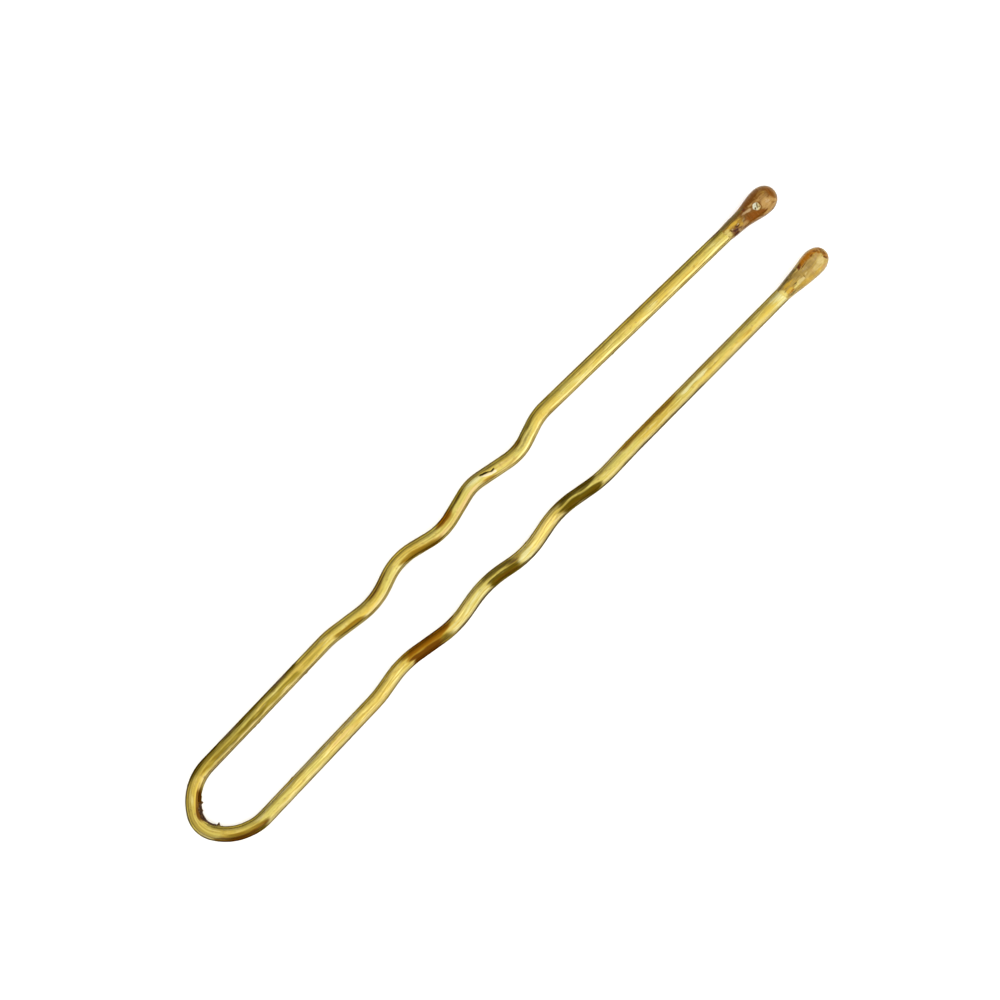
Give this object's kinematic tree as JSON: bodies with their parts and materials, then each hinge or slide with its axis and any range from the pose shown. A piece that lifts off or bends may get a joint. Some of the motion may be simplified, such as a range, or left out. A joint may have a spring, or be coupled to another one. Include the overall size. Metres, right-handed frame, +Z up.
{
  "type": "french hair pin",
  "caption": "U-shaped hair pin of round wire with waved legs and hard rounded drops on the tips, pushed through a twist or bun to hold it.",
  "frame": {"origin": "on the surface that the pin rests on, under the middle of its box", "axes": "+X from the bow to the tips, +Y to the left leg, +Z up from the surface that the pin rests on"},
  "size_m": [0.0644, 0.0082, 0.0021],
  "materials": {
    "brass_wire": "drawn and clear-lacquered, with dark tarnish along its edges",
    "brown_resin": "glossy, slightly see-through brown amber",
    "honey_resin": "glossy, slightly see-through honey amber"
  },
  "bodies": {
    "root": {"wire": "brass_wire", "left_tip_drop": "brown_resin", "right_tip_drop": "honey_resin"}
  },
  "joints": []
}
